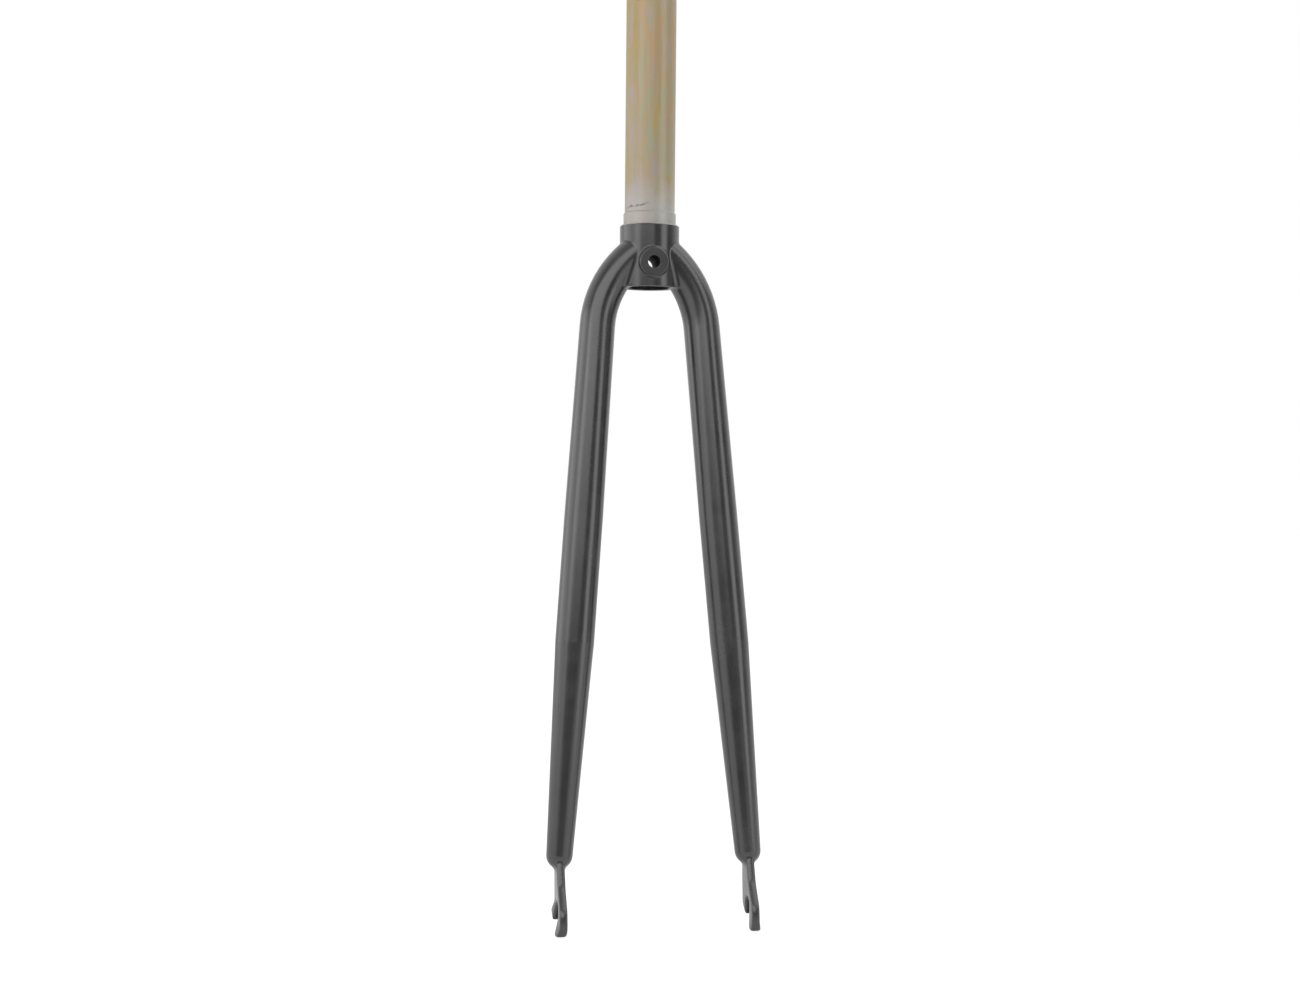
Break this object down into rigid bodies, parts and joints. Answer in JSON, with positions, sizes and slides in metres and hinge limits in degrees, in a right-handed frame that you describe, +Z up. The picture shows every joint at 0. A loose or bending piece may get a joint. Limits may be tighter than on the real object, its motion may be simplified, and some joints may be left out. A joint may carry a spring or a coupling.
{
  "type": "rigid bicycle fork",
  "caption": "Rigid steel bicycle fork: straight steerer with a crown race seat, brake bolt boss in the crown, and bent, tapered blades welded on, with slotted dropouts for the front wheel.",
  "frame": {"origin": "centre of the shoulder that the crown race sits on, on the steerer's axis", "axes": "+Z up along the steerer, -Y to the front of the bicycle, -X to the rider's right"},
  "size_m": [0.1212, 0.0772, 0.6143],
  "materials": {
    "raw_steel": "turned, bare",
    "black_paint": "satin"
  },
  "bodies": {
    "root": {"steerer_tube": "raw_steel", "brake_boss": "black_paint", "left_blade": "black_paint", "right_blade": "black_paint", "left_dropout": "black_paint", "right_dropout": "black_paint", "left_crown_weld": "black_paint", "right_crown_weld": "black_paint", "front_boss_weld": "black_paint", "rear_boss_weld": "black_paint", "left_dropout_weld": "black_paint", "right_dropout_weld": "black_paint"}
  },
  "joints": []
}
